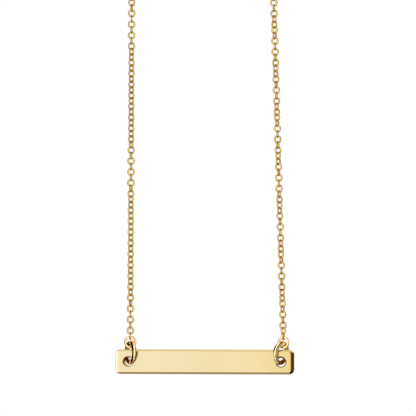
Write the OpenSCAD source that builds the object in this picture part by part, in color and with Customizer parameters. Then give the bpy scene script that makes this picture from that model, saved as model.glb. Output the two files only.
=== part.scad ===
// Tag necklace, in millimetres. A flat gold bar hangs by two jump rings and two small end rings
// from the ends of a fine link chain, which closes at the back of the neck with a ring clasp.
// The origin is the top of the round peg that the loop hangs on. +Z is up, +X is to the right
// as the bar's face is seen, and that face looks along -Y.

/* [Bar] */
// Length of the bar
bar_length = 35; // [34:0.5:36]
// Height of the bar
bar_height = 4.85; // [4.75:0.05:5]
// Thickness of the bar
bar_thickness = 1.2; // [1.1:0.05:1.25]
// Radius of the bar's corners, seen from the front
corner_radius = 1; // [0.7:0.1:1.4]
// Radius of the bar's rounded edges
edge_radius = 0.5; // [0.3:0.05:0.54]
// Diameter of the two holes
hole_diameter = 2.2; // [2.2:0.05:2.3]
// Distance from each end of the bar to the centre of its hole
hole_inset = 2.5; // [2.4:0.05:2.6]
// How far the holes lie above the bar's middle
hole_rise = 0.05; // [0.05:0.01:0.1]
// Depth of the bevel round each hole's rims
hole_bevel = 0.2; // [0.1:0.05:0.3]

/* [Rings] */
// Outer diameter of the two large jump rings
jump_diameter = 4.75; // [4.6:0.05:4.9]
// Wire of the large jump rings
jump_wire = 0.95; // [0.8:0.05:0.95]
// How far the left large ring is turned from edge-on, front arc towards the bar's middle
jump_turn_left = 29; // [28:1:30]
// How far the right large ring is turned from edge-on, front arc towards the bar's middle
jump_turn_right = 31; // [29:1:31]
// Lean of the left large ring, its top towards the right
jump_lean_left = 2.5; // [0:0.5:3]
// Lean of the right large ring, its top towards the right
jump_lean_right = 8; // [6:0.5:8]
// Outer diameter of the small rings
end_diameter = 2.5; // [2.5:0.05:2.6]
// Wire of the small rings
end_wire = 0.45; // [0.4:0.01:0.45]
// How far the left small ring is turned from facing the front
end_turn_left = 32; // [28:1:34]
// How far the right small ring is turned from facing the front
end_turn_right = 27; // [24:1:32]

/* [Chain] */
// Distance from one link's centre to the next
link_pitch = 1.065; // [1.055:0.005:1.075]
// Clear diameter inside a link
link_bore = 1.2; // [1.2:0.01:1.22]
// Wire of a link, measured outwards from the link's centre
link_wire = 0.15; // [0.12:0.01:0.15]
// Wire of a link, measured along the link's own axis
link_width = 0.29; // [0.2:0.01:0.3]
// Separate links in the front stretch of each side
front_links = 114; // [66:1:114]
// Thickness of the plain stretch that carries each side on to the clasp
back_diameter = 1.3; // [1:0.1:1.4]

/* [Clasp] */
// Outer diameter of the clasp's ring
clasp_diameter = 5; // [4.9:0.05:5.1]
// Wire of the clasp's ring
clasp_wire = 0.9; // [0.8:0.05:0.9]
// Outer diameter of the eye that holds the left side of the chain
eye_diameter = 1.7; // [1.7:0.05:1.8]
// Wire of the eye
eye_wire = 0.4; // [0.35:0.05:0.4]
// Diameter of the clasp's thumb knob
knob_diameter = 0.7; // [0.5:0.1:0.8]

/* [Hanging] */
// Radius of the round peg that the loop hangs on
peg_radius = 10.9; // [10.9:0.05:11]
// Depth of the chain's lowest links below the top of the peg
hang_depth = 196.8; // [187:1:206]
// How far the bar hangs to the right of the peg, so that the right side of the chain leans more
sway = 1.9; // [0:0.1:2.1]

/* [Hidden] */
$fn = 48;
gold_bar = [0.95, 0.87, 0.66];
gold_ring = [0.9, 0.78, 0.5];
gold_chain = [0.87, 0.73, 0.42];

// Large rings, measured from the centre of the bar. The left one is drawn towards the middle
hole_x = bar_length / 2 - hole_inset;
jump_y = -0.3;
jump_z = 1.82;
jump_mid = (jump_diameter - jump_wire) / 2;
jump_in_left = 0.47;
jump_in_right = 0.05;
function jump_x(side) = side < 0 ? jump_in_left - hole_x : hole_x - jump_in_right;
function jump_turn(side) = side < 0 ? jump_turn_left : jump_turn_right;
function jump_lean(side) = side < 0 ? jump_lean_left : jump_lean_right;

// Small rings: each crosses a large ring's wire a little behind that ring's top
end_mid = (end_diameter - end_wire) / 2;
end_back = 0.3;
end_y = jump_y + end_back * cos((jump_turn_left + jump_turn_right) / 2);
end_lift = 0.13;
end_z = jump_z + jump_mid + end_lift;
function end_x(side) =
    jump_x(side) + side * end_back * sin(jump_turn(side)) * cos(jump_lean(side))
    + jump_mid * sin(jump_lean(side));
function end_turn(side) = side < 0 ? end_turn_left : end_turn_right;

// The chain's links, and the arc that they follow over the peg
link_mid = (link_bore + link_wire) / 2;
link_outer = link_bore / 2 + link_wire;
link_drop = 0.2;
bend_radius = peg_radius + 1;
foot_z = -hang_depth;

// Centre of the bar, with the small rings' tops in the plane of the chain
bar_y = -end_y;
bar_z = foot_z - link_drop - end_mid - end_z;

// Clasp and closing ring at the top of the loop
clasp_mid = (clasp_diameter - clasp_wire) / 2;
closing_x = clasp_mid + 0.2;
closing_z = sqrt(pow(peg_radius + end_diameter / 2, 2) - closing_x * closing_x) - peg_radius;
closing_angle = asin(closing_x / (peg_radius + end_diameter / 2));
clasp_z = closing_z + 0.02;
eye_mid = (eye_diameter - eye_wire) / 2;
eye_x = clasp_mid + clasp_wire / 2 + 0.5;
eye_radius = peg_radius + clasp_z;
eye_angle = asin(eye_x / eye_radius);

// Where each side's last link sits on the bend, in degrees from the top of the loop
last_angle_left = eye_angle + (eye_mid + 0.25) / bend_radius * 180 / PI;
last_angle_right = closing_angle + (end_mid + 0.175) / bend_radius * 180 / PI;

// How the links turn about the chain as it rises. Columns: link, degrees of turn
LEFT_TWIST = [[0, 108], [1, 90], [3, 90], [9, 135], [24, 135], [28, 180], [31, 180],
              [36, 225], [51, 225], [54, 270], [57, 270], [64, 315], [190, 1575]];
RIGHT_TWIST = [[0, 72], [8, -48], [12, -90], [20, -180], [29, -270], [37, -360], [45, -450],
               [53, -540], [61, -630], [190, -2000]];

// Each side's path is a straight strand from its lowest link, then the arc. Side is -1 or 1, and
// x is measured outwards from the peg. How far out the lowest link is:
function foot_x(side) = side * (end_x(side) + sway);
// Length of the straight strand, a tangent to the arc
function strand_length(side) =
    sqrt(pow(foot_x(side), 2) + pow(foot_z + peg_radius, 2) - bend_radius * bend_radius);
// Lean of the straight strand from upright, towards the middle of the loop
function strand_lean(side) =
    atan2(foot_z + peg_radius, foot_x(side)) + atan2(strand_length(side), bend_radius);
// Lean of the path after a distance s along it
function path_lean(side, s) =
    strand_lean(side) + max(0, s - strand_length(side)) / bend_radius * 180 / PI;
// Point of the path after a distance s along it, as [x, z]
function path_point(side, s) =
    s <= strand_length(side)
    ? [foot_x(side) - s * sin(strand_lean(side)), foot_z + s * cos(strand_lean(side))]
    : [bend_radius * cos(path_lean(side, s)), bend_radius * sin(path_lean(side, s)) - peg_radius];
// Length of one side's path, from its lowest link to its last
function side_length(side, last_angle) =
    strand_length(side) + bend_radius * (90 - strand_lean(side) - last_angle) * PI / 180;

// Ring of round wire, standing in the XZ plane
module wire_ring(mid_radius, wire) {
    rotate([90, 0, 0])
        rotate_extrude()
            translate([mid_radius, 0])
                circle(d = wire);
}

// One link of flattened wire with round edges, standing in the XZ plane
module link() {
    rotate([90, 0, 0])
        rotate_extrude()
            translate([link_mid, 0]) {
                square([link_wire, link_width - link_wire], center = true);
                for (end = [-1, 1])
                    translate([0, end * (link_width - link_wire) / 2])
                        circle(d = link_wire);
            }
}

// A link at a distance s along one side, turned about the path
module placed_link(side, s, turn) {
    at = path_point(side, s);
    translate([side * at.x, 0, at.y])
        rotate([0, -side * path_lean(side, s), 0])
            rotate([0, 0, turn])
                link();
}

// The separate links of one side's front stretch
module front_strand(side, twist) {
    for (i = [0 : front_links - 1])
        placed_link(side, i * link_pitch, lookup(i, twist) + 90 * i);
}

// Plain eight-sided tube along one side's path, from one distance to another
module plain_stretch(side, from, to) {
    sides = 8;
    rings = 34;
    radius = back_diameter / 2;
    points = [
        for (i = [0 : rings - 1])
            let (s = from + (to - from) * i / (rings - 1))
            let (at = path_point(side, s), lean = path_lean(side, s))
                for (k = [0 : sides - 1])
                    let (u = radius * cos(k * 360 / sides), v = radius * sin(k * 360 / sides))
                        [at.x + u * cos(lean), v, at.y + u * sin(lean)]
    ];
    walls = [
        for (i = [0 : rings - 2])
            for (k = [0 : sides - 1])
                let (a = i * sides + k, b = i * sides + (k + 1) % sides)
                    [a, a + sides, b + sides, b]
    ];
    first_cap = [for (k = [0 : sides - 1]) k];
    last_cap = [for (k = [sides - 1 : -1 : 0]) (rings - 1) * sides + k];
    mirror([side < 0 ? 1 : 0, 0, 0])
        polyhedron(points, concat([first_cap, last_cap], walls));
}

// The hidden stretch of one side: a plain tube, then the links that hold the clasp
module back_strand(side, last_angle, last_turn) {
    clasp_links = 3;
    last = side_length(side, last_angle);
    start = front_links * link_pitch - link_pitch + link_outer + 0.15;
    stop = last - (clasp_links - 1) * link_pitch - link_outer - 0.15;
    plain_stretch(side, start, stop);
    for (i = [0 : clasp_links - 1])
        placed_link(side, last - i * link_pitch, last_turn + 90 * i);
}

// Section of the bar's rim: out from the centre line of a corner to the rounded edge
module rim_profile() {
    inner = corner_radius - edge_radius;
    flat = bar_thickness / 2 - edge_radius;
    translate([0, -bar_thickness / 2])
        square([inner, bar_thickness]);
    translate([inner, -flat])
        square([edge_radius, 2 * flat]);
    for (face = [0, 1])
        mirror([0, face])
            translate([inner, flat])
                intersection() {
                    circle(r = edge_radius);
                    square(edge_radius);
                }
}

// Quarter of a coin with the bar's rounded rim
module corner() {
    rotate([90, 0, 0])
        rotate_extrude(angle = 90)
            rim_profile();
}

// The bar before drilling: a middle block, a rounded strip along each side and four corners
module bar_blank() {
    straight = bar_length / 2 - corner_radius;
    upright = bar_height / 2 - corner_radius;
    cube([2 * straight, bar_thickness, 2 * upright], center = true);
    for (turn = [0, 180])
        rotate([0, turn, 0]) {
            translate([0, 0, upright])
                rotate([0, -90, 0])
                    linear_extrude(2 * straight, center = true)
                        rim_profile();
            translate([straight, 0, 0])
                linear_extrude(2 * upright, center = true)
                    rim_profile();
            translate([straight, 0, upright])
                corner();
            translate([-straight, 0, upright])
                rotate([0, -90, 0])
                    corner();
        }
}

// Hole through the bar with a bevel at both faces
module drill() {
    over = 0.1;
    rotate([90, 0, 0]) {
        cylinder(d = hole_diameter, h = bar_thickness + 1, center = true);
        for (face = [0, 1])
            mirror([0, 0, face])
                translate([0, 0, bar_thickness / 2 - hole_bevel])
                    cylinder(h = hole_bevel + over, r1 = hole_diameter / 2,
                             r2 = hole_diameter / 2 + hole_bevel + over);
    }
}

module tag_bar() {
    color(gold_bar)
        translate([sway, bar_y, bar_z])
            difference() {
                bar_blank();
                for (side = [-1, 1])
                    translate([side * hole_x, 0, hole_rise])
                        drill();
            }
}

module jump_ring(side) {
    color(gold_ring)
        translate([sway + jump_x(side), bar_y + jump_y, bar_z + jump_z])
            rotate([0, jump_lean(side), 0])
                rotate([0, 0, side * (90 - jump_turn(side))])
                    wire_ring(jump_mid, jump_wire);
}

module end_ring(side) {
    color(gold_ring)
        translate([sway + end_x(side), bar_y + end_y, bar_z + end_z])
            rotate([0, 0, -side * end_turn(side)])
                wire_ring(end_mid, end_wire);
}

module jump_ring_left() jump_ring(-1);
module jump_ring_right() jump_ring(1);
module end_ring_left() end_ring(-1);
module end_ring_right() end_ring(1);
module chain_left() color(gold_chain) front_strand(-1, LEFT_TWIST);
module chain_right() color(gold_chain) front_strand(1, RIGHT_TWIST);
module chain_back_left() color(gold_chain) back_strand(-1, last_angle_left, 0);
module chain_back_right() color(gold_chain) back_strand(1, last_angle_right, 90);

// Turn about the centre of the bend, from the top of the loop towards +X
module rotate_about_bend(angle) {
    translate([0, 0, -peg_radius])
        rotate([0, angle, 0])
            children();
}

// Ring clasp that lies flat over the peg, with an eye for the chain and a thumb knob
module clasp() {
    color(gold_ring) {
        translate([0, 0, clasp_z])
            rotate([90, 0, 0])
                wire_ring(clasp_mid, clasp_wire);
        rotate_about_bend(-eye_angle)
            translate([0, 0, eye_radius])
                rotate([90, 0, 0])
                    wire_ring(eye_mid, eye_wire);
        translate([0, 0, clasp_z])
            rotate([0, 0, 60])
                translate([clasp_mid, 0, 0])
                    rotate([0, 90, 0])
                        cylinder(d = knob_diameter, h = clasp_wire / 2 + 0.5);
    }
}

// Closing ring: it links the clasp's ring to the right side of the chain
module clasp_ring() {
    color(gold_ring)
        translate([closing_x, 0, closing_z])
            wire_ring(end_mid, end_wire);
}

tag_bar();
jump_ring_left();
jump_ring_right();
end_ring_left();
end_ring_right();
chain_left();
chain_right();
chain_back_left();
chain_back_right();
clasp();
clasp_ring();
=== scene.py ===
import math

import bmesh
import bpy
from mathutils import Matrix, Vector


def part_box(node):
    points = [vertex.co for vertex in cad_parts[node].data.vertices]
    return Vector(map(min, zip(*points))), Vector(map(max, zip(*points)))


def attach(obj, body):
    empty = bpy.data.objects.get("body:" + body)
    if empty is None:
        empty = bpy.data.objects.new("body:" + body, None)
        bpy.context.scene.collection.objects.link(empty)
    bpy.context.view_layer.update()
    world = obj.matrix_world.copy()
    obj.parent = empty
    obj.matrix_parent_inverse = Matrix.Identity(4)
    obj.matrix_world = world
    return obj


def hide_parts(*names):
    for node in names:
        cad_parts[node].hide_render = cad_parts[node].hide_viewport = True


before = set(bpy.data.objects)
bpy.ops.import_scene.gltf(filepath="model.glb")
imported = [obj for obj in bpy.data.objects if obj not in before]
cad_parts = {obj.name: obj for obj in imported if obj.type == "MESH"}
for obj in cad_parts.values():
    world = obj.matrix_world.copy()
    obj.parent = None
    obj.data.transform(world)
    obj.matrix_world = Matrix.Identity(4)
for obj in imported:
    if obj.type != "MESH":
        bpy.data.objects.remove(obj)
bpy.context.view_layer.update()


# The bar
# A strip of gold plate, 35 by 4.85 by 1.2 mm. Its corners and edges are rounded on the wheel, more
# at the ends, and a hole is drilled near each end. Then all of it is buffed bright, apart from the
# throats of the holes, which the wheel doesn't reach. These are rougher, and their dark brown
# colour is painted shade for the inside of the holes.
mm = 0.001
micron = mm / 1000
bar_low, bar_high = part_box("tag_bar")
bar_middle = (bar_low + bar_high) / 2
bar_half = (bar_high - bar_low) / 2
corner_radius = 1.0 * mm
corner_steps = 16
end_roll = 0.8 * mm
edge_radius = 0.5 * mm
edge_steps = 10

# The holes, with -1 for the left and 1 for the right. Each throat lies a little lower than its rim
# and nearer the bar's middle, so that the jump ring passes clear of its wall.
hole_inset = 2.5 * mm
hole_rise = 0.05 * mm
hole_points = 96
throat_radii = {-1: 0.82 * mm, 1: 0.86 * mm}
throat_shifts = {-1: 0.22 * mm, 1: 0.05 * mm}
throat_drops = {-1: 0.05 * mm, 1: 0.1 * mm}
rim_radius = 0.33 * mm
rim_steps = 8
rim_polished_steps = {-1: 4, 1: 2}


def rounded_strip(share):
    """Outline of the bar seen from the front, drawn in by a share of its edges, as x and z."""
    radius_x = corner_radius - end_roll * share
    radius_z = corner_radius - edge_radius * share
    points = []
    for quarter in range(4):
        across = 1 if quarter in (0, 3) else -1
        up = 1 if quarter in (0, 1) else -1
        for step in range(corner_steps + 1):
            angle = math.radians(90 * (quarter + step / corner_steps))
            points.append((across * (bar_half.x - corner_radius) + radius_x * math.cos(angle),
                           up * (bar_half.z - corner_radius) + radius_z * math.sin(angle)))
    return points


def drilled_circle(side, share):
    """Outline of a hole, opened out by a share of its rim's rounding, as x and z."""
    middle_x = side * (bar_half.x - hole_inset - throat_shifts[side] * (1 - share))
    middle_z = hole_rise - throat_drops[side] * (1 - share)
    radius = throat_radii[side] + rim_radius * share
    turns = [2 * math.pi * step / hole_points for step in range(hole_points)]
    return [(middle_x + radius * math.cos(t), middle_z + radius * math.sin(t)) for t in turns]


def joined_rows(mesh, row, after):
    """Closed band of faces between two rows of points."""
    return [mesh.faces.new((row[i - 1], row[i], after[i], after[i - 1])) for i in range(len(row))]


def rounded_wall(mesh, outline, radius, steps, polished_steps):
    """Rolls an outline over the front edge, through the thickness and over the back edge."""
    rows = []
    for face in (-1, 1):
        turns = range(steps + 1) if face < 0 else range(steps, -1, -1)
        for turn in turns:
            angle = math.pi / 2 * turn / steps
            depth = face * (bar_half.y - radius * (1 - math.cos(angle)))
            rows.append([mesh.verts.new((x, depth, z)) for x, z in outline(1 - math.sin(angle))])
    for place, (row, after) in enumerate(zip(rows, rows[1:])):
        # Faces deep in a throat take the second material: rough, and painted dark brown as shade.
        rough_painted_shade = polished_steps <= place < len(rows) - 1 - polished_steps
        for patch in joined_rows(mesh, row, after):
            patch.material_index = 1 if rough_painted_shade else 0
    return rows[0], rows[-1]


def row_edges(mesh, row):
    """The edges that join a closed row of points."""
    return [mesh.edges.get((row[i - 1], row[i])) for i in range(len(row))]


def smooth_object(name, data):
    """Object in the scene for a mesh, shaded smooth."""
    data.shade_smooth()
    piece = bpy.data.objects.new(name, data)
    bpy.context.scene.collection.objects.link(piece)
    return piece


def finished_piece(mesh, name, middle=Vector()):
    """Turns a built mesh into an object with its place kept in its mesh."""
    bmesh.ops.recalc_face_normals(mesh, faces=mesh.faces)
    bmesh.ops.translate(mesh, verts=mesh.verts, vec=middle)
    data = bpy.data.meshes.new(name)
    mesh.to_mesh(data)
    mesh.free()
    return smooth_object(name, data)


# The outer edge is polished right through, and the holes' walls only near their rims. Deeper in,
# the walls are rough and painted dark brown as shade.
bar_mesh = bmesh.new()
walls = [rounded_wall(bar_mesh, rounded_strip, edge_radius, edge_steps, edge_steps + 1)]
for side in (-1, 1):
    walls.append(rounded_wall(bar_mesh, lambda share: drilled_circle(side, share),
                              rim_radius, rim_steps, rim_polished_steps[side]))
for rows in zip(*walls):
    edges = [edge for row in rows for edge in row_edges(bar_mesh, row)]
    bmesh.ops.triangle_fill(bar_mesh, use_beauty=True, edges=edges)
bar = finished_piece(bar_mesh, "polished_bar", bar_middle)

# The rounding leaves the two flat faces without a crease, so they shade flat right up to it.
face_depth = bar_half.y - 0.1 * micron
normals = []
for point in bar.data.vertices:
    depth = point.co.y - bar_middle.y
    on_face = abs(depth) > face_depth
    normals.append((0, math.copysign(1, depth), 0) if on_face else point.normal)
bar.data.normals_split_custom_set_from_vertices(normals)


def buffed_gold(name, tone, shadow_tone, roughness, wave, grain):
    """Gold plate buffed on a wheel: faint waves, finer rub marks and slightly uneven colour."""
    rub_stretch = (1, 12, 12)
    shadow_up_to, tone_from = 0.3, 0.7
    smoothest, roughest = 0.7, 1.3
    material = bpy.data.materials.new(name)
    material.use_nodes = True
    nodes, links = material.node_tree.nodes, material.node_tree.links
    gold = nodes["Principled BSDF"]
    gold.inputs["Metallic"].default_value = 1
    place = nodes.new("ShaderNodeTexCoord").outputs["Object"]
    stretch = nodes.new("ShaderNodeMapping")
    stretch.inputs["Scale"].default_value = rub_stretch
    links.new(place, stretch.inputs["Vector"])

    def noise(where, scale, detail):
        texture = nodes.new("ShaderNodeTexNoise")
        texture.inputs["Scale"].default_value = scale
        texture.inputs["Detail"].default_value = detail
        links.new(where, texture.inputs["Vector"])
        return texture.outputs["Fac"]

    def relief(height, distance):
        bump = nodes.new("ShaderNodeBump")
        bump.inputs["Strength"].default_value = 1
        bump.inputs["Distance"].default_value = distance
        links.new(height, bump.inputs["Height"])
        return bump

    colours = nodes.new("ShaderNodeValToRGB")
    shadow_end, tone_end = colours.color_ramp.elements
    shadow_end.position = shadow_up_to
    shadow_end.color = (*shadow_tone, 1)
    tone_end.position = tone_from
    tone_end.color = (*tone, 1)
    links.new(noise(place, scale=180, detail=2), colours.inputs["Fac"])
    links.new(colours.outputs["Color"], gold.inputs["Base Color"])

    rubs = noise(stretch.outputs["Vector"], scale=900, detail=4)
    shine = nodes.new("ShaderNodeMapRange")
    shine.inputs["To Min"].default_value = roughness * smoothest
    shine.inputs["To Max"].default_value = roughness * roughest
    links.new(rubs, shine.inputs["Value"])
    links.new(shine.outputs["Result"], gold.inputs["Roughness"])

    waves = relief(noise(place, scale=420, detail=1), wave)
    marks = relief(rubs, grain)
    links.new(waves.outputs["Normal"], marks.inputs["Normal"])
    links.new(marks.outputs["Normal"], gold.inputs["Normal"])
    return material


bar_gold = buffed_gold("bar_gold", (0.925, 0.785, 0.47), (0.905, 0.76, 0.445),
                       roughness=0.06, wave=0.8 * micron, grain=0.1 * micron)
# The throats' material is rougher, and its dark brown colour is painted shade inside the holes.
throat_gold_painted_shade = buffed_gold("throat_gold_painted_shade", (0.4, 0.2, 0.06), (0.32, 0.16, 0.04),
                           roughness=0.25, wave=2 * micron, grain=0.5 * micron)
bar.data.materials.append(bar_gold)
bar.data.materials.append(throat_gold_painted_shade)
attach(bar, "pendant")
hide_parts("tag_bar")


# The jump rings
# Two rings of thick round wire, sprung open, passed through the bar's holes and pressed shut, so a
# hairline joint is left where the wire's ends meet. They stand turned, front towards the bar's
# middle, and lean to the right, the right one more.
bar_ends = ((-1, "left"), (1, "right"))
jump_turns = {"left": math.radians(29), "right": math.radians(31)}
jump_leans = {"left": math.radians(2.5), "right": math.radians(8)}
jump_joint_from_top = 55
jump_wire = 0.95 * mm
jump_middle_radius = 1.9 * mm

# All four rings hang a touch lower than the plain solids do.
ring_settle = Vector((0, 0, -0.05 * mm))

# At a joint the wire dips by a share of its thickness, and has more sections, set at these numbers
# of joint widths from the joint.
ring_sections = 144
ring_wire_sides = 40
joint_width = 0.03 * mm
joint_depth = 0.16
joint_stations = (-2, -1.2, -0.6, 0, 0.6, 1.2, 2)
ring_gold = buffed_gold("ring_gold", (0.93, 0.74, 0.4), (0.9, 0.7, 0.35),
                        roughness=0.04, wave=0.5 * micron, grain=0.05 * micron)


def closed_wire_ring(name, middle, along, radius, wire, joint_at, lean=0.0):
    """Ring of round wire in the upright plane of a level direction, then leant to the right."""
    turns = [2 * math.pi * step / ring_sections for step in range(ring_sections)]
    turns += [joint_at + station * joint_width / radius for station in joint_stations]
    # Sections that fall on the same turn are one section.
    turns = sorted({round(turn % (2 * math.pi), 6) for turn in turns})
    leaning = Matrix.Rotation(lean, 3, "Y")
    up = leaning @ Vector((0, 0, 1))
    along = leaning @ along
    axle = along.cross(up)
    mesh = bmesh.new()
    rows = []
    for turn in turns:
        out = along * math.cos(turn) + up * math.sin(turn)
        from_joint = (turn - joint_at + math.pi) % (2 * math.pi) - math.pi
        dip = 1 - joint_depth * math.exp(-(from_joint * radius / joint_width) ** 2)
        reach = wire / 2 * dip
        row = []
        for k in range(ring_wire_sides):
            round_wire = 2 * math.pi * k / ring_wire_sides
            row.append(mesh.verts.new(out * (radius + reach * math.cos(round_wire))
                                      + axle * reach * math.sin(round_wire)))
        rows.append(row)
    for i, row in enumerate(rows):
        joined_rows(mesh, rows[i - 1], row)
    return finished_piece(mesh, name, middle)


jump_rings = {}
for side, name in bar_ends:
    low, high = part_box("jump_ring_" + name)
    along = Vector((math.sin(jump_turns[name]), side * math.cos(jump_turns[name]), 0))
    ring = closed_wire_ring("jump_ring_" + name + "_wire", (low + high) / 2 + ring_settle, along,
                            jump_middle_radius, jump_wire,
                            math.radians(90 - side * jump_joint_from_top), jump_leans[name])
    ring.data.materials.append(ring_gold)
    jump_rings[name] = ring
    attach(ring, "pendant")
    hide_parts("jump_ring_" + name)


# The end rings
# Two small rings of finer wire, sprung open and pressed shut in the same way. Each joins a jump
# ring to the lowest link of the chain and stands turned a little, outer side towards the front.
end_turn = math.radians(14)
end_joint_from_top = 60
end_wire = 0.45 * mm
end_middle_radius = 0.975 * mm

end_rings = {}
for side, name in bar_ends:
    low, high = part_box("end_ring_" + name)
    along = Vector((math.cos(end_turn), -side * math.sin(end_turn), 0))
    ring = closed_wire_ring("end_ring_" + name + "_wire", (low + high) / 2 + ring_settle, along,
                            end_middle_radius, end_wire,
                            math.radians(90 + side * end_joint_from_top))
    ring.data.materials.append(ring_gold)
    end_rings[name] = ring
    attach(ring, "pendant")
    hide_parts("end_ring_" + name)


# The chain
# Cable chain: each link is a bit of gold wire, bent round and soldered, a little longer than wide.
# The chain runs from the end rings straight up on both sides and over the peg to the clasp.
peg_radius = 10.9 * mm
bend_radius = 11.9 * mm
link_pitch = 1.065 * mm
link_end_wire = 0.28 * mm
link_side_wire = 0.4 * mm
link_depth = 0.36 * mm
link_width = 1.52 * mm
link_sections = 28
link_wire_sides = 10
link_slack = 0.08 * mm
foot_gap = link_pitch / 2 - end_wire / 2 - link_slack
chain_gold = buffed_gold("chain_gold", (0.84, 0.65, 0.24), (0.79, 0.58, 0.19),
                         roughness=0.16, wave=0.5 * micron, grain=0.1 * micron)

# How the links turn about the chain as it rises: link, degrees of turn. Above these rows the chain
# turns evenly, and reaches about its whole twist at the clasp.
twists = {
    "left": [(0, 96), (1, 90), (3, 90), (9, 135), (24, 135), (28, 180), (31, 180), (36, 225),
             (51, 225), (54, 270), (57, 270), (64, 315)],
    "right": [(0, 80), (1, 40), (2, 12), (3, -6), (8, -48), (12, -90), (20, -180), (29, -270),
              (37, -360), (45, -450), (53, -540), (61, -630)],
}
whole_twists = {"left": 1575, "right": -2000}

# The chain ends at the clasp, which lies flat on the peg. The clasp's eye holds the left side and a
# closing ring the right. The angles are taken at the peg's middle, from the top.
closing_low, closing_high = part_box("clasp_ring")
closing_middle = (closing_low + closing_high) / 2
clasp_lift = 0.02 * mm
clasp_z = closing_middle.z + clasp_lift
eye_radius = 0.65 * mm
eye_wire = 0.4 * mm
eye_offset = 3.0 * mm
eye_gap = link_pitch / 2 - eye_wire / 2
eye_angle = math.asin(eye_offset / (peg_radius + clasp_z))
closing_angle = math.asin(closing_middle.x / (peg_radius + end_middle_radius + end_wire / 2))
link_counts = {"left": 188, "right": 189}
last_link_angles = {"left": eye_angle + (eye_radius + eye_gap) / bend_radius,
                    "right": closing_angle + (end_middle_radius + foot_gap) / bend_radius}
last_link_turns = {"left": 0, "right": 90}


def along_table(table, at):
    """The value of a table at a place between its rows."""
    for (a, low), (b, high) in zip(table, table[1:]):
        if at <= b:
            return low + (high - low) * (at - a) / (b - a)
    return table[-1][1]


class Strand:
    """One side of the loop: a straight strand from its foot, then an arc over the peg."""

    def __init__(self, foot):
        from_peg = (foot.x, foot.z + peg_radius)
        self.foot = foot
        self.straight = math.sqrt(from_peg[0] ** 2 + from_peg[1] ** 2 - bend_radius ** 2)
        self.lean = (math.atan2(from_peg[1], from_peg[0])
                     + math.atan2(self.straight, bend_radius))

    def length_to(self, angle_from_top):
        return self.straight + bend_radius * (math.pi / 2 - self.lean - angle_from_top)

    def at(self, distance):
        """The point after a distance along the strand, and its lean there."""
        lean = self.lean + max(0, distance - self.straight) / bend_radius
        if distance <= self.straight:
            point = self.foot + distance * Vector((-math.sin(lean), 0, math.cos(lean)))
        else:
            point = Vector((bend_radius * math.cos(lean), 0,
                            bend_radius * math.sin(lean) - peg_radius))
        return point, lean


def wire_link(pitch):
    """Points and faces of one link, upright in the XZ plane."""
    reach_x = (link_width - link_side_wire) / 2
    reach_z = (pitch + link_end_wire) / 2
    points, faces = [], []
    for i in range(link_sections):
        turn = 2 * math.pi * i / link_sections
        on_wire = Vector((reach_x * math.cos(turn), 0, reach_z * math.sin(turn)))
        out = Vector((reach_z * math.cos(turn), 0, reach_x * math.sin(turn))).normalized()
        thick = link_side_wire + (link_end_wire - link_side_wire) * math.sin(turn) ** 2
        row = i * link_wire_sides
        after = (i + 1) % link_sections * link_wire_sides
        for k in range(link_wire_sides):
            round_wire = 2 * math.pi * k / link_wire_sides
            points.append(on_wire + out * thick / 2 * math.cos(round_wire)
                          + Vector((0, link_depth / 2 * math.sin(round_wire), 0)))
            beside = (k + 1) % link_wire_sides
            faces.append((row + k, row + beside, after + beside, after + k))
    return points, faces


def linked_chain(name, side, strand, start, end, links, table):
    """Every link of one side, each resting in the one before it."""
    pitch = (end - start) / links
    points, faces = wire_link(pitch)
    all_points, all_faces = [], []
    for i in range(links + 1):
        place, lean = strand.at(start + i * pitch)
        turn = math.radians(along_table(table, i) + 90 * i)
        pose = (Matrix.Translation((side * place.x, 0, place.z))
                @ Matrix.Rotation(-side * lean, 4, "Y") @ Matrix.Rotation(turn, 4, "Z"))
        first = len(all_points)
        all_points += [pose @ p for p in points]
        all_faces += [tuple(first + v for v in face) for face in faces]
    data = bpy.data.meshes.new(name)
    data.from_pydata(all_points, [], all_faces)
    data.materials.append(chain_gold)
    return smooth_object(name, data)


# A link looks the same after half a turn, so the last one is turned to the nearest that fits.
chains = {}
for side, name in bar_ends:
    low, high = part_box("end_ring_" + name)
    foot = (low + high) / 2 + ring_settle
    strand = Strand(Vector((side * foot.x, 0, foot.z + end_middle_radius)))
    links = link_counts[name]
    fitting_twist = last_link_turns[name] - 90 * links
    half_turns = round((whole_twists[name] - fitting_twist) / 180)
    table = twists[name] + [(links, fitting_twist + 180 * half_turns)]
    chain = linked_chain("chain_" + name + "_links", side, strand, foot_gap,
                         strand.length_to(last_link_angles[name]), links, table)
    chains[name] = chain
    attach(chain, "necklace")
    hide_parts("chain_" + name, "chain_back_" + name)


# The clasp
# A bolt ring: a hollow ring of tube with a gap, which a sprung bolt closes. A thumb stub on the
# bolt stands out of a slot in the tube, and a small eye is soldered on for the chain.
clasp_tube = 0.9 * mm
clasp_radius = 2.05 * mm
tube_sections = 110
gap_from, gap_to = math.radians(74), math.radians(112)
bolt_rod = clasp_tube * 0.66
bolt_lap = 0.06
bolt_sections = 24
eye_sections = 48
stub_at = math.radians(60)
stub_radius = 0.35 * mm
stub_height = 0.5 * mm
stub_sides = 28

# An open rod ends in a blunt nose, which grows from its tip to the rod's thickness by these steps.
# The nose's length and its tip are shares of the rod's thickness.
rod_sides = 32
nose_length = 0.3
nose_tip = 0.4
nose_steps = (0.0, 0.35, 0.65, 0.88)
clasp_gold = buffed_gold("clasp_gold", (0.92, 0.73, 0.38), (0.89, 0.69, 0.34),
                         roughness=0.1, wave=1 * micron, grain=0.1 * micron)


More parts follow.
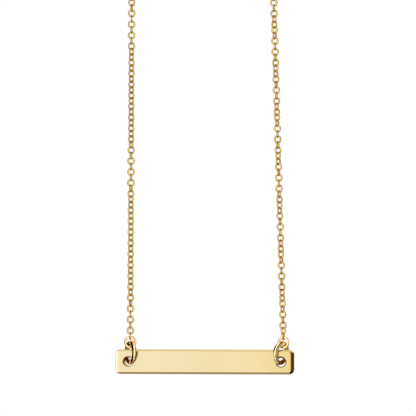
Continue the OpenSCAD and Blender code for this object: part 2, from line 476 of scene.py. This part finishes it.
def bent_rod(mesh, pose, radius, thickness, start, stop, sections):
    """Arc of round rod in the XY plane before its pose, with softly rounded ends."""
    closed = abs(stop - start) >= 2 * math.pi - 1e-6
    stations = [(start + (stop - start) * i / sections, 1.0)
                for i in range(sections + (0 if closed else 1))]
    if not closed:
        nose = thickness * nose_length / radius
        ends = [(nose * (1 - math.sqrt(1 - step * step)), nose_tip + (1 - nose_tip) * step)
                for step in nose_steps]
        stations = ([(start + inset, share) for inset, share in ends] + stations[2:-2]
                    + [(stop - inset, share) for inset, share in reversed(ends)])
    rows = []
    for turn, share in stations:
        out = Vector((math.cos(turn), math.sin(turn), 0))
        reach = thickness / 2 * share
        row = []
        for k in range(rod_sides):
            round_rod = 2 * math.pi * k / rod_sides
            row.append(mesh.verts.new(pose @ (out * (radius + reach * math.cos(round_rod))
                                              + Vector((0, 0, reach * math.sin(round_rod))))))
        rows.append(row)
    for row, after in zip(rows, rows[1:]):
        joined_rows(mesh, row, after)
    if closed:
        joined_rows(mesh, rows[-1], rows[0])
    else:
        mesh.faces.new(rows[0])
        mesh.faces.new(rows[-1])


def turned_stub(mesh, pose, profile):
    """A little post turned on a lathe. The profile is radius and height."""
    turns = [2 * math.pi * k / stub_sides for k in range(stub_sides)]
    rows = [[mesh.verts.new(pose @ Vector((radius * math.cos(t), radius * math.sin(t), height)))
             for t in turns] for radius, height in profile]
    for row, after in zip(rows, rows[1:]):
        joined_rows(mesh, row, after)
    mesh.faces.new(rows[0])
    mesh.faces.new(rows[-1])


clasp_mesh = bmesh.new()
flat = Matrix.Translation((0, 0, clasp_z))
bent_rod(clasp_mesh, flat, clasp_radius, clasp_tube, gap_to - 2 * math.pi, gap_from, tube_sections)
bent_rod(clasp_mesh, flat, clasp_radius, bolt_rod, gap_from - bolt_lap, gap_to + bolt_lap,
         bolt_sections)
eye_pose = (Matrix.Translation((0, 0, -peg_radius)) @ Matrix.Rotation(-eye_angle, 4, "Y")
            @ Matrix.Translation((0, 0, peg_radius + clasp_z)))
bent_rod(clasp_mesh, eye_pose, eye_radius, eye_wire, 0, 2 * math.pi, eye_sections)
stub_pose = (flat @ Matrix.Rotation(stub_at, 4, "Z")
             @ Matrix.Translation((clasp_radius, 0, 0)) @ Matrix.Rotation(math.pi / 2, 4, "Y"))
tube_skin = clasp_tube / 2
stub_end = tube_skin + stub_height
turned_stub(clasp_mesh, stub_pose,
            [(stub_radius * 0.8, clasp_tube * 0.2), (stub_radius * 0.8, tube_skin + 0.1 * mm),
             (stub_radius, tube_skin + 0.2 * mm), (stub_radius, stub_end - 0.1 * mm),
             (stub_radius * 0.86, stub_end - 0.03 * mm), (stub_radius * 0.55, stub_end)])
clasp = finished_piece(clasp_mesh, "bolt_ring_clasp")
clasp.data.materials.append(clasp_gold)
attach(clasp, "necklace")
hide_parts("clasp")


# The closing ring
# A small ring of the same wire and size as the end rings, pressed shut with its joint low down. It
# joins the right side of the chain to the clasp's tube.
closing_joint = math.radians(250)
closing_ring = closed_wire_ring("closing_ring", closing_middle, Vector((1, 0, 0)),
                                end_middle_radius, end_wire, closing_joint)
closing_ring.data.materials.append(clasp_gold)
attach(closing_ring, "necklace")
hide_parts("clasp_ring")


# The studio
# The necklace hangs over a floor that glows white. Its metal mirrors dark surroundings with one
# pale panel in front, warmer towards the right, and softboxes that each light their own pieces.
floor_radius = 12
floor_height = -0.262
floor_mesh = bmesh.new()
bmesh.ops.create_circle(floor_mesh, cap_ends=True, segments=96, radius=floor_radius)
floor = finished_piece(floor_mesh, "pale_floor", Vector((0, 0, floor_height)))
pale = bpy.data.materials.new("pale_floor")
pale.use_nodes = True
glow = pale.node_tree.nodes.new("ShaderNodeEmission")
pale.node_tree.links.new(glow.outputs["Emission"],
                         pale.node_tree.nodes["Material Output"].inputs["Surface"])
floor.data.materials.append(pale)
floor.visible_glossy = False
floor.visible_diffuse = False

surroundings = bpy.data.worlds.new("studio")
surroundings.use_nodes = True
bpy.context.scene.world = surroundings
nodes, links = surroundings.node_tree.nodes, surroundings.node_tree.links


def worked_out(operation, *values):
    """Result of a math node on numbers and sockets."""
    node = nodes.new("ShaderNodeMath")
    node.operation = operation
    for socket, value in zip(node.inputs, values):
        if isinstance(value, (int, float)):
            socket.default_value = value
        else:
            links.new(value, socket)
    return node.outputs[0]


def colour_bands(value, bands):
    """Bands of colour over a value from 0 to 1."""
    ramp = nodes.new("ShaderNodeValToRGB")
    elements = ramp.color_ramp.elements
    while len(elements) < len(bands):
        elements.new(0.5)
    for element, (position, colour) in zip(elements, bands):
        element.position = position
    for element, (position, colour) in zip(elements, bands):
        element.color = (*colour, 1)
    links.new(value, ramp.inputs["Fac"])
    return ramp.outputs["Color"]


def blended(share, first, second):
    """Mix of two colours or colour sockets, which are inputs 6 and 7 and output 2 of the node."""
    node = nodes.new("ShaderNodeMix")
    node.data_type = "RGBA"
    links.new(share, node.inputs["Factor"])
    for socket, value in ((node.inputs[6], first), (node.inputs[7], second)):
        if isinstance(value, tuple):
            socket.default_value = (*value, 1)
        else:
            links.new(value, socket)
    return node.outputs[2]


def rise(value, low, high):
    """Smooth step from 0 at the low value to 1 at the high one."""
    node = nodes.new("ShaderNodeMapRange")
    node.interpolation_type = "SMOOTHSTEP"
    links.new(value, node.inputs["Value"])
    node.inputs["From Min"].default_value = low
    node.inputs["From Max"].default_value = high
    return node.outputs["Result"]


looking = nodes.new("ShaderNodeTexCoord")
parts = nodes.new("ShaderNodeSeparateXYZ")
links.new(looking.outputs["Generated"], parts.inputs["Vector"])
forwards = worked_out("MULTIPLY", parts.outputs["Y"], -1)
downwards = worked_out("MULTIPLY", parts.outputs["Z"], -1)
round_turn = worked_out("ARCTAN2", parts.outputs["X"], forwards)
round_share = worked_out("MULTIPLY_ADD", round_turn, 1 / (2 * math.pi), 0.5)

# Colours round the horizon, in degrees: 0 is the front, behind the camera, and 90 the right.
black = (0.012, 0.008, 0.004)
brown = (0.085, 0.042, 0.01)
horizon = [
    (-180, (0.45, 0.45, 0.43)), (-150, (0.4, 0.4, 0.38)), (-135, black), (-17, black),
    (-11, (1.0, 1.0, 1.0)), (-7, (1.0, 1.03, 1.13)), (-4, (0.98, 0.96, 0.84)),
    (-1, (0.97, 0.92, 0.74)), (4, (0.9, 0.79, 0.52)), (9, (0.4, 0.3, 0.16)), (20, brown),
    (118, brown), (150, (0.3, 0.2, 0.1)), (180, (0.45, 0.45, 0.43)),
]
level_colours = colour_bands(round_share, [(a / 360 + 0.5, c) for a, c in horizon])

# The panel has a gilt stretch, which the bar's right part mirrors. It begins too abruptly for the
# bands. Higher and lower, all turns black over these sines of the angle to the horizon.
gilt = (0.95, 0.76, 0.3)
gilt_begins = [math.radians(a) for a in (-4.8, -4.05)]
gilt_ends = [math.radians(a) for a in (3, 9)]
black_above = (0.4, 0.55)
black_below = (0.28, 0.42)
from_gilt = blended(rise(round_turn, *gilt_begins), level_colours, gilt)
with_gilt = blended(rise(round_turn, *gilt_ends), from_gilt, level_colours)
with_ceiling = blended(rise(parts.outputs["Z"], *black_above), with_gilt, black)
all_round = blended(rise(downwards, *black_below), with_ceiling, black)
path = nodes.new("ShaderNodeLightPath")
links.new(blended(path.outputs["Is Camera Ray"], all_round, (1.0, 1.0, 1.0)),
          nodes["Background"].inputs["Color"])


def softbox(name, lit, level, azimuth, spread, elevation=0, tall=32, colour=(1, 1, 1)):
    """Flat lamp that faces the bar and is seen only in the pieces that it is meant for.

    Its place is an azimuth and an elevation, and its size is half its width and half its height,
    all in degrees as seen from the bar. Level 1 is as bright as white.
    """
    away = 0.4
    turn, tilt = math.radians(azimuth), math.radians(elevation)
    lamp = bpy.data.lights.new(name, "AREA")
    lamp.shape = "RECTANGLE"
    lamp.size = 2 * away * math.tan(math.radians(spread))
    lamp.size_y = 2 * away * math.tan(math.radians(tall))
    lamp.color = colour
    lamp.energy = level * math.pi * lamp.size * lamp.size_y
    box = bpy.data.objects.new(name, lamp)
    box.location = bar_middle + away * Vector((math.cos(tilt) * math.sin(turn),
                                               -math.cos(tilt) * math.cos(turn), math.sin(tilt)))
    box.rotation_euler = (math.pi / 2 - tilt, 0, turn)
    box.visible_camera = False
    bpy.context.scene.collection.objects.link(box)
    pieces = bpy.data.collections.new(name)
    for piece in lit:
        pieces.objects.link(piece)
    box.light_linking.receiver_collection = pieces


left_fine = [jump_rings["left"], end_rings["left"], chains["left"]]
right_fine = [jump_rings["right"], end_rings["right"], chains["right"]]
small_rings = [end_rings["left"], end_rings["right"]]
both_chains = [chains["left"], chains["right"]]
clasp_pieces = [clasp, closing_ring]
cream = (1, 0.93, 0.75)
warm = (1, 0.6, 0.2)
softbox("left_wall", [bar], 1.0, -60, 45)
softbox("left_edge", [bar], 0.6, -78, 27)
softbox("ceiling", [bar], 1.0, 0, 60, elevation=90, tall=60, colour=(0.82, 0.74, 0.6))
softbox("floor_glow", [bar], 0.45, -90, 70, elevation=-60, tall=45, colour=(0.8, 0.65, 0.45))
softbox("left_key", left_fine, 1.6, 5, 20, tall=60)
softbox("left_fill", left_fine, 0.55, 95, 55, colour=cream)
softbox("right_key", right_fine, 2.8, -25, 13, tall=60)
softbox("right_front", right_fine, 0.5, 14, 8, tall=60)
softbox("right_fill", right_fine, 0.45, 95, 55, colour=cream)
softbox("small_ring_glow", small_rings, 0.3, 0, 60, tall=60)
softbox("chain_glow", both_chains, 0.4, -95, 50, colour=(1, 0.85, 0.55))
softbox("chain_top", both_chains, 0.2, 0, 60, elevation=90, tall=60, colour=warm)
softbox("chain_bottom", both_chains, 0.2, 0, 60, elevation=-90, tall=60, colour=warm)
softbox("left_top", [jump_rings["left"]], 1.0, 90, 45, elevation=75, tall=35)
softbox("left_bottom", [jump_rings["left"]], 0.35, 90, 45, elevation=-75, tall=35)
softbox("right_top", [jump_rings["right"]], 1.8, 0, 22, elevation=90, tall=40)
softbox("right_bottom", [jump_rings["right"]], 0.6, 0, 35, elevation=-90, tall=45)
softbox("top_fill", small_rings, 0.2, 0, 60, elevation=90, tall=60)
softbox("clasp_front", clasp_pieces, 1.2, 0, 50, elevation=20, tall=50)
softbox("clasp_top", clasp_pieces, 0.8, 0, 60, elevation=90, tall=60)
softbox("back_wall", [bar] + clasp_pieces + left_fine + right_fine, 0.5, 180, 25)


# The camera
# It stands a little to the right, level with the middle of the photograph. The lens is a long one,
# as for small pieces shot from some way off.
camera_distance = 0.9
camera_turn = math.radians(5.5)
frame_width = 81.1 * mm
aim_right = 0.63 * mm
aim_up = 29.99 * mm
nearest, farthest = 0.01, 50
aim = Vector((bar_middle.x + aim_right, bar_middle.y, bar_middle.z + aim_up))
lens = bpy.data.cameras.new("camera")
lens.sensor_width = 36
lens.lens = lens.sensor_width * camera_distance / frame_width
lens.clip_start, lens.clip_end = nearest, farthest
camera = bpy.data.objects.new("camera", lens)
camera.location = aim + camera_distance * Vector((math.sin(camera_turn),
                                                  -math.cos(camera_turn), 0))
camera.rotation_euler = (math.pi / 2, 0, camera_turn)
bpy.context.scene.collection.objects.link(camera)
bpy.context.scene.camera = camera
bpy.context.scene.view_settings.view_transform = "Standard"
